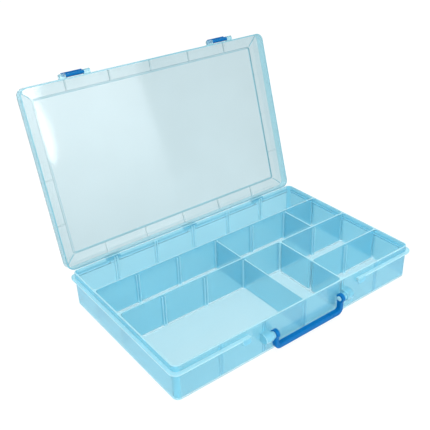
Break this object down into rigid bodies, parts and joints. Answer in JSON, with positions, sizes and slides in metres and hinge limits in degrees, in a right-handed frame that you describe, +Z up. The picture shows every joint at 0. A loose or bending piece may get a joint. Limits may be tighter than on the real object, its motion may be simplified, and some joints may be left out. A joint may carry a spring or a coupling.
{
  "type": "compartment box",
  "caption": "Shallow translucent compartment box for art and desk supplies with hinged lid, latches, bail handle and lift-out dividers.",
  "frame": {"origin": "centre of the base's flat underside", "axes": "+X along the long front to the viewer's right, +Y from the front to the hinge side, +Z up"},
  "size_m": [0.36, 0.3101, 0.2608],
  "materials": {
    "tray_plastic": "translucent sky-blue polypropylene, smooth",
    "lid_plastic": "clear, faintly blue polypropylene, polished",
    "latch_plastic": "solid strong-blue plastic, glossy",
    "handle_plastic": "solid strong-blue plastic, glossy",
    "divider_plastic": "translucent pale-blue polypropylene, smooth"
  },
  "bodies": {
    "base": {"base_tray": "tray_plastic"},
    "lid": {"lid": "lid_plastic"},
    "latch_left": {"latch_left": "latch_plastic"},
    "latch_right": {"latch_right": "latch_plastic"},
    "carry_handle": {"carry_handle": "handle_plastic"},
    "divider_front": {"divider_front": "divider_plastic"},
    "divider_middle": {"divider_middle": "divider_plastic"},
    "divider_right": {"divider_right": "divider_plastic"}
  },
  "joints": [
    {"name": "lid_hinge", "type": "hinge", "parent": "base", "child": "lid", "pos_m": [0, 0.1139, 0.0396], "axis": [-1, 0, 0], "range_deg": [-106, 0]},
    {"name": "latch_left_pivot", "type": "hinge", "parent": "lid", "child": "latch_left", "pos_m": [-0.1068, 0.17887, 0.25821], "axis": [-1, 0, 0], "range_deg": [-180, 0]},
    {"name": "latch_right_pivot", "type": "hinge", "parent": "lid", "child": "latch_right", "pos_m": [0.1068, 0.17887, 0.25821], "axis": [-1, 0, 0], "range_deg": [-180, 0]},
    {"name": "handle_pivot", "type": "hinge", "parent": "base", "child": "carry_handle", "pos_m": [0, -0.11545, 0.0273], "axis": [-1, 0, 0], "range_deg": [-8, 180]},
    {"name": "divider_front_lift", "type": "slide", "parent": "base", "child": "divider_front", "axis": [0, 0, 1], "range_m": [0, 0.05]},
    {"name": "divider_middle_lift", "type": "slide", "parent": "base", "child": "divider_middle", "axis": [0, 0, 1], "range_m": [0, 0.05]},
    {"name": "divider_right_lift", "type": "slide", "parent": "base", "child": "divider_right", "axis": [0, 0, 1], "range_m": [0, 0.05]}
  ]
}
